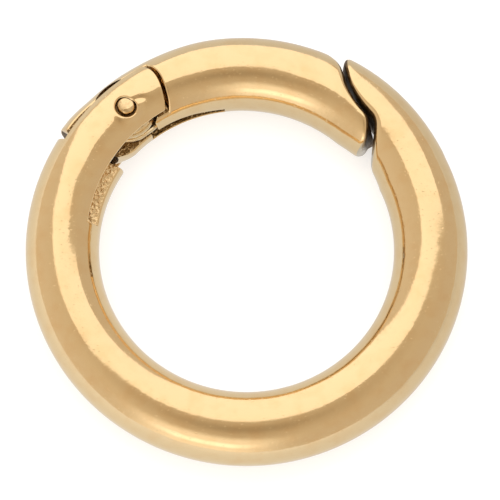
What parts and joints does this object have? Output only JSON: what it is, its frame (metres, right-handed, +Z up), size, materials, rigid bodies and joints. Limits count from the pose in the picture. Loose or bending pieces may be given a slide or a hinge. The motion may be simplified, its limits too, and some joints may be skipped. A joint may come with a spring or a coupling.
{
  "type": "round spring gate ring clasp",
  "caption": "Round clasp ring of thick polished gold wire with a sprung hinged gate that swings inwards, for joining chains, charms and keys.",
  "frame": {"origin": "centre of the ring, on the surface it lies on", "axes": "+Z up out of the ring's plane, +Y from the ring's centre towards the middle of the gate, +X towards the mouth's side"},
  "size_m": [0.024, 0.0239, 0.004],
  "materials": {
    "polished_gold": "mirror-polished warm gold plating over steel, with as-cast grain left in the hinge recesses",
    "pin_gold": "hammered gold rivet head, slightly uneven",
    "spring_gold": "drawn gold-coloured spring wire"
  },
  "bodies": {
    "ring": {"ring_body": "polished_gold", "hinge_pin": "pin_gold", "spring": "spring_gold"},
    "gate": {"gate": "polished_gold"}
  },
  "joints": [
    {"name": "gate_hinge", "type": "hinge", "parent": "ring", "child": "gate", "pos_m": [-0.00656, 0.00755, 0.002], "axis": [0, 0, -1], "range_deg": [0, 28], "stiffness_Nm_per_rad": 0.0006, "springref_deg": -28.65, "deforming": ["spring"]}
  ]
}
